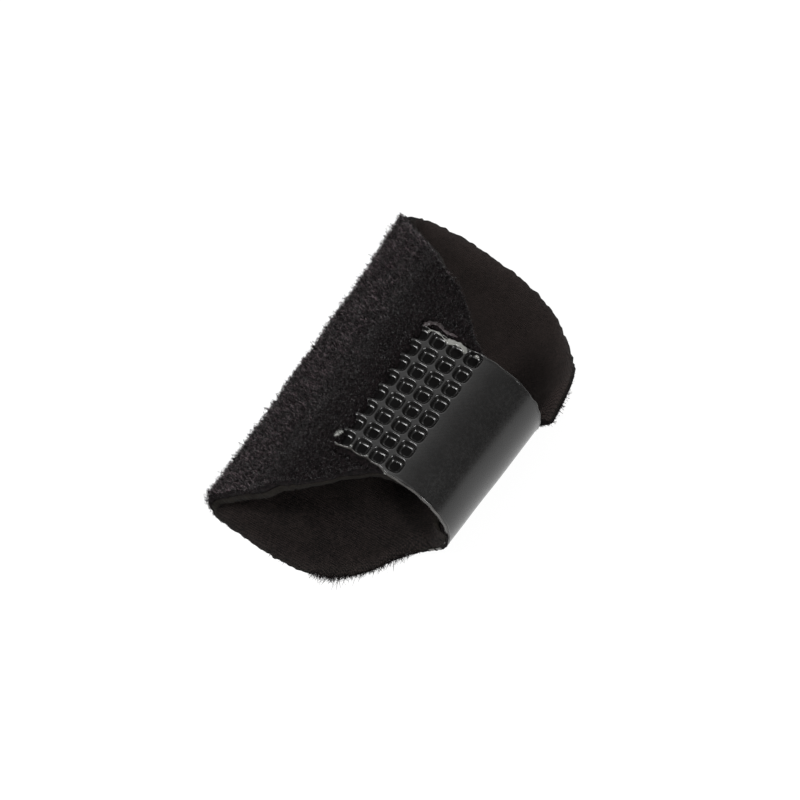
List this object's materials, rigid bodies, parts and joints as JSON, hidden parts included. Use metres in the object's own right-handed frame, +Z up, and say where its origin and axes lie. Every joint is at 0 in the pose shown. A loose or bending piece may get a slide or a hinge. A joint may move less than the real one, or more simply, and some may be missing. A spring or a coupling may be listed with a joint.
{
  "type": "finger splint",
  "caption": "Padded finger wrap of loop-faced foam cloth, folded along one side and closed round the other by a welded moulded hook strap.",
  "frame": {"origin": "on the surface that the wrap lies on, under the middle of its box", "axes": "+Y along the finger towards the wider end, +X from the fold towards the strap's bend, +Z up"},
  "size_m": [0.032, 0.0508, 0.0183],
  "materials": {
    "loop_pile": "brushed black loop pile, dull and fuzzy",
    "knit_lining": "fine brownish black knit on thin foam, matt",
    "hook_plastic": "smooth black moulded hook tape with a pressed weld field"
  },
  "bodies": {
    "root": {"pile_cover": "loop_pile", "foam_lining": "knit_lining", "hook_strap": "hook_plastic"}
  },
  "joints": []
}
